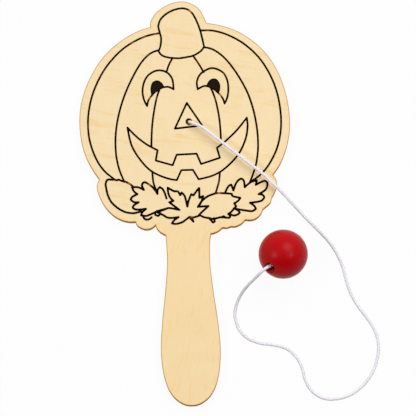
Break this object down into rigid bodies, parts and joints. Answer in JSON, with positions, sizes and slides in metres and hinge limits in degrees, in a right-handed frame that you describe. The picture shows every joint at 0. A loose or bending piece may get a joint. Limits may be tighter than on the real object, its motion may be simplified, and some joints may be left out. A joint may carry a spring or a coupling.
{
  "type": "paddle ball game",
  "caption": "Flat wooden pumpkin-shaped paddle with an engraved face and a red wooden ball tied to it on a slack elastic cord.",
  "frame": {"origin": "on the flat back face, 0.35 mm to the right of the handle's middle line, half way between the neck and the handle's end", "axes": "+Y up the handle to the pumpkin's stem, +Z out of the engraved front face, +X to the right as the face is looked at; at rest the back face and the ball stand on Z = 0"},
  "size_m": [0.1651, 0.229, 0.0274],
  "materials": {
    "front_wood": "bare sanded basswood ply with burnt engraved lines",
    "core_wood": "core ply, grain turned across, scorched at the cut edge",
    "back_wood": "bare sanded basswood ply",
    "cord_braid": "braided pale lavender cover over rubber",
    "ball_paint": "satin red paint on turned wood"
  },
  "bodies": {
    "paddle": {"front_veneer": "front_wood", "core_veneer": "core_wood", "back_veneer": "back_wood", "back_knot": "cord_braid", "elastic_cord": "cord_braid"},
    "cord_end": {"ball_knot": "cord_braid"},
    "ball": {"ball": "ball_paint"}
  },
  "joints": [
    {"name": "ball_pull", "type": "slide", "parent": "paddle", "child": "cord_end", "axis": [0, -1, 0], "range_m": [0, 0.12], "deforming": ["elastic_cord"]},
    {"name": "ball_spin", "type": "hinge", "parent": "cord_end", "child": "ball", "pos_m": [0.0523, 0.0349, 0.0137], "axis": [-0.6016, -0.623, 0.5], "continuous": true}
  ]
}
